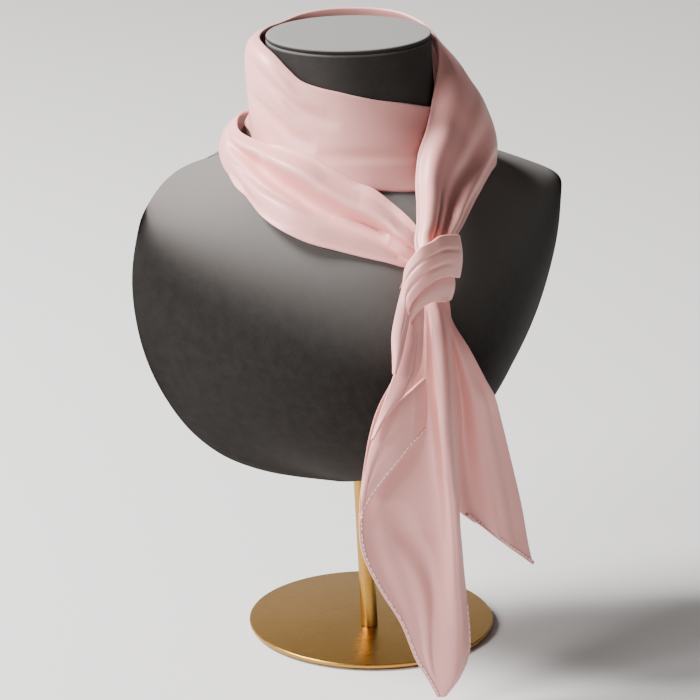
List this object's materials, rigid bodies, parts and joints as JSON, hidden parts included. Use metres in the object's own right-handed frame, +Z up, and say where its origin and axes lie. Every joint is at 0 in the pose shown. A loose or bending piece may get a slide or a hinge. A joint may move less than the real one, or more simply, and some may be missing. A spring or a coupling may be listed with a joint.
{
  "type": "silk square scarf knotted on a display bust",
  "caption": "Pink satin square scarf folded on the bias, wound round the neck of a limbless grey display bust on a brass stand and knotted in front, its corners hanging.",
  "frame": {"origin": "middle of the stand's underside, on the surface that it rests on", "axes": "+Z up, the bust faces -Y, +X is to a viewer's right when facing the bust"},
  "size_m": [0.2914, 0.2365, 0.3924],
  "materials": {
    "silk": "satin weave, softly glossy",
    "bust_cover": "matt brushed microfibre",
    "neck_cover": "matt brushed microfibre",
    "brass": "brushed",
    "pad": "matt"
  },
  "bodies": {
    "root": {"scarf_front_band": "silk", "scarf_back_band": "silk", "scarf_right_drop": "silk", "scarf_left_wrap": "silk", "scarf_knot_wrap": "silk", "scarf_knot_under": "silk", "scarf_tail_strip": "silk", "scarf_tail_flap": "silk", "scarf_tail_front": "silk", "scarf_tail_right": "silk", "bust_form": "bust_cover", "neck_cap": "neck_cover", "post": "brass", "base_plate": "brass", "base_pad": "pad"}
  },
  "joints": []
}
